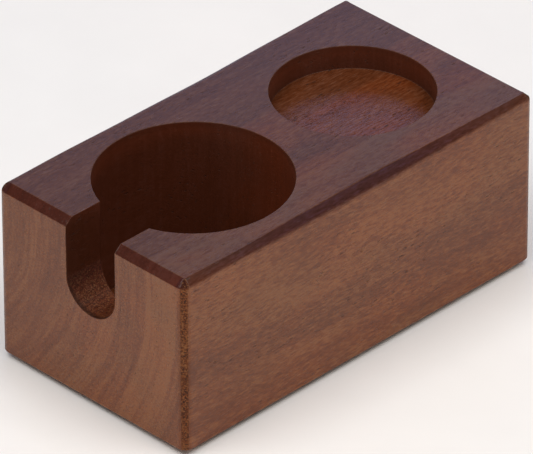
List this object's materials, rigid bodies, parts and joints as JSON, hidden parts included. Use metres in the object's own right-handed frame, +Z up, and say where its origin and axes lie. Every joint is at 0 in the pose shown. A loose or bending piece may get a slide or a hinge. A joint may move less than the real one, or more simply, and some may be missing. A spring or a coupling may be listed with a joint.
{
  "type": "portafilter and tamper holder",
  "caption": "Stained hardwood block with a deep round pocket and neck slot for a portafilter and a shallow round recess for a tamper, on silicone feet.",
  "frame": {"origin": "on the bench surface, under the middle of the block", "axes": "+Z up; +Y along the block's length, towards the tamper recess, so the slotted end faces -Y; +X across the width"},
  "size_m": [0.092, 0.1736, 0.072],
  "materials": {
    "stained_wood": "satin, red-brown stained open-pored hardwood",
    "silicone": "matt black moulded silicone",
    "adhesive": "translucent acrylic adhesive film"
  },
  "bodies": {
    "root": {"holder_block": "stained_wood", "foot_front_left": "silicone", "foot_front_right": "silicone", "foot_rear_left": "silicone", "foot_rear_right": "silicone", "adhesive_film_front_left": "adhesive", "adhesive_film_front_right": "adhesive", "adhesive_film_rear_left": "adhesive", "adhesive_film_rear_right": "adhesive"}
  },
  "joints": []
}
